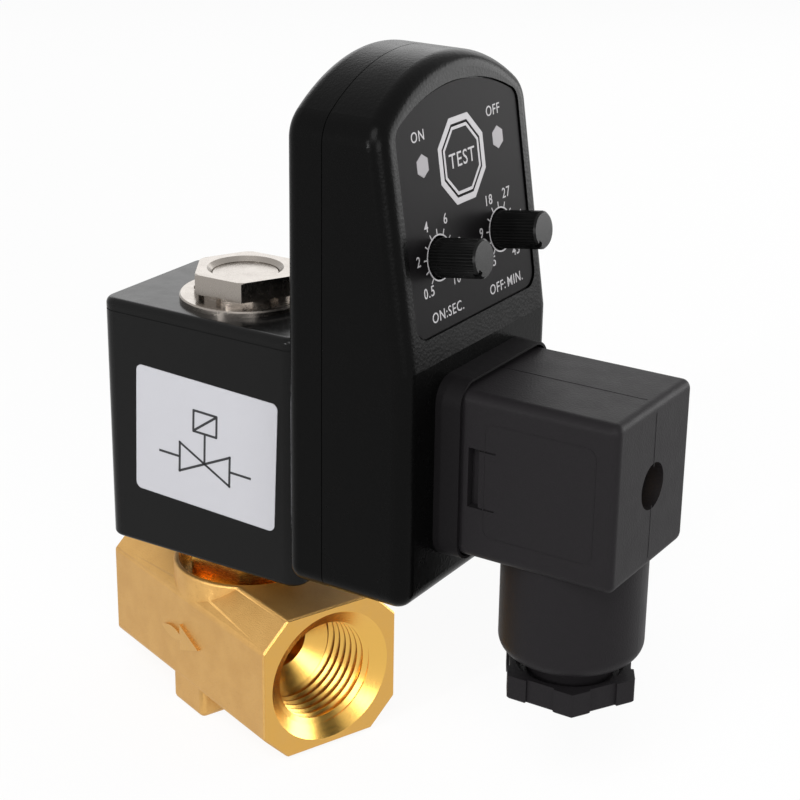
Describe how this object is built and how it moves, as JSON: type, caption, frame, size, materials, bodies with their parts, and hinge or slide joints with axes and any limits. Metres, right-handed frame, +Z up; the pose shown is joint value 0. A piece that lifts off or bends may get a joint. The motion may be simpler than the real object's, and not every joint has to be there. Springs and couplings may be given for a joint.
{
  "type": "automatic drain valve",
  "caption": "Brass solenoid drain valve with threaded ports in line, a plug-on electronic timer and a square cable plug.",
  "frame": {"origin": "on the inlet's axis, where its thread starts behind the countersunk mouth", "axes": "+X along the flow axis towards the outlet; +Z up, along the armature tube; the coil, timer and plug are turned 21.4 degrees about the tube"},
  "size_m": [0.1065, 0.0622, 0.1272],
  "materials": {
    "forged_brass": "shot-blasted forging",
    "turned_brass": "turned bright",
    "stainless": "ground",
    "copper": "bright",
    "seal_rubber": "moulded",
    "plated_steel": "nickel plated",
    "coil_resin": "encapsulation resin, glossy",
    "black_plastic": "fine texture",
    "block_plastic": "moulded",
    "panel_film": "printed film",
    "lamp_lens": "translucent",
    "board_green": "circuit board",
    "knob_plastic": "fluted",
    "gasket_rubber": "moulded",
    "plug_plastic": "fine texture",
    "tinned_blade": "tinned"
  },
  "bodies": {
    "valve": {"valve_body": "forged_brass", "tube_base": "turned_brass", "armature_tube": "stainless", "fixed_core": "stainless", "shading_ring": "copper", "return_spring": "stainless", "coil_base_ring": "seal_rubber", "flat_washer": "plated_steel", "lock_washer": "plated_steel", "coil_nut": "plated_steel"},
    "plunger": {"plunger": "stainless", "plunger_seal": "seal_rubber"},
    "coil": {"coil_case": "coil_resin", "lower_flux_ring": "plated_steel", "upper_flux_ring": "plated_steel", "coil_left_blade": "tinned_blade", "coil_right_blade": "tinned_blade", "coil_earth_blade": "tinned_blade"},
    "timer": {"timer_gasket": "seal_rubber", "timer_back_cover": "black_plastic", "timer_front_housing": "black_plastic", "timer_socket_block": "block_plastic", "timer_pin_block": "block_plastic", "panel_overlay": "panel_film", "on_lamp": "lamp_lens", "off_lamp": "lamp_lens", "test_switch": "block_plastic", "circuit_board": "board_green", "on_time_potentiometer": "block_plastic", "off_time_potentiometer": "block_plastic", "timer_left_blade": "tinned_blade", "timer_right_blade": "tinned_blade", "timer_earth_blade": "tinned_blade"},
    "test_button": {"test_button": "panel_film"},
    "on_time_knob": {"on_time_knob": "knob_plastic"},
    "off_time_knob": {"off_time_knob": "knob_plastic"},
    "plug": {"plug_gasket": "gasket_rubber", "plug_housing": "plug_plastic", "plug_contact_block": "block_plastic", "plug_screw": "turned_brass", "gland_seal": "seal_rubber"},
    "gland_washer": {"gland_washer": "plated_steel"},
    "gland_nut": {"gland_nut": "plug_plastic"}
  },
  "joints": [
    {"name": "plunger_lift", "type": "slide", "parent": "valve", "child": "plunger", "axis": [0, 0, 1], "range_m": [0, 0.002], "stiffness_N_per_m": 300, "springref_m": -0.006, "deforming": ["return_spring"]},
    {"name": "coil_swivel", "type": "hinge", "parent": "valve", "child": "coil", "pos_m": [0.0244, 0, 0.0181], "axis": [0, 0, 1], "continuous": true},
    {"name": "timer_pull", "type": "slide", "parent": "coil", "child": "timer", "axis": [0.9311, 0.3649, 0], "range_m": [0, 0.012]},
    {"name": "plug_pull", "type": "slide", "parent": "timer", "child": "plug", "axis": [0.9311, 0.3649, 0], "range_m": [0, 0.012]},
    {"name": "on_time_turn", "type": "hinge", "parent": "timer", "child": "on_time_knob", "pos_m": [0.07092, 0.00771, 0.08202], "axis": [-0.9206, -0.3608, -0.1495], "range_deg": [0, 276]},
    {"name": "off_time_turn", "type": "hinge", "parent": "timer", "child": "off_time_knob", "pos_m": [0.06377, 0.02596, 0.08202], "axis": [-0.9206, -0.3608, -0.1495], "range_deg": [0, 276]},
    {"name": "test_press", "type": "slide", "parent": "timer", "child": "test_button", "axis": [-0.9206, -0.3608, -0.1495], "range_m": [0, 0.0004], "stiffness_N_per_m": 2000, "springref_m": -0.0004},
    {"name": "gland_back_off", "type": "slide", "parent": "plug", "child": "gland_washer", "axis": [0, 0, -1], "range_m": [0, 0.00423]},
    {"name": "gland_turn", "type": "hinge", "parent": "gland_washer", "child": "gland_nut", "pos_m": [0.08729, 0.02465, 0.0074], "axis": [0, 0, -1], "range_deg": [0, 1081]}
  ],
  "couplings": [
    {"joint": "gland_turn", "follows": "gland_back_off", "rad_per_m": 4456.2}
  ]
}
